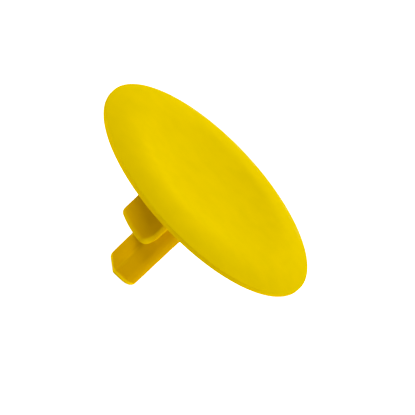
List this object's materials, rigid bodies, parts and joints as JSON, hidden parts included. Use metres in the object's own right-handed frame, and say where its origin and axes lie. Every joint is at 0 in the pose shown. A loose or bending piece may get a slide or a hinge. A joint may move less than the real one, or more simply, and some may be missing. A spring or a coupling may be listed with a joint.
{
  "type": "push-button plate",
  "caption": "Round dished push-button plate with a raised outer ring, standing on an off-centre keyed plug post that pushes into the button's plunger.",
  "frame": {"origin": "centre of the plug post's free end, the lowest point of the plate", "axes": "+Z along the post and out of the finger side; the key lug stands out towards -X and -Y; the disc and the post share the Z axis"},
  "size_m": [0.0234, 0.0234, 0.012],
  "materials": {
    "moulded_plastic": "satin moulded yellow plastic"
  },
  "bodies": {
    "root": {"finger_disc": "moulded_plastic", "plug_post": "moulded_plastic", "key_lug": "moulded_plastic"}
  },
  "joints": []
}
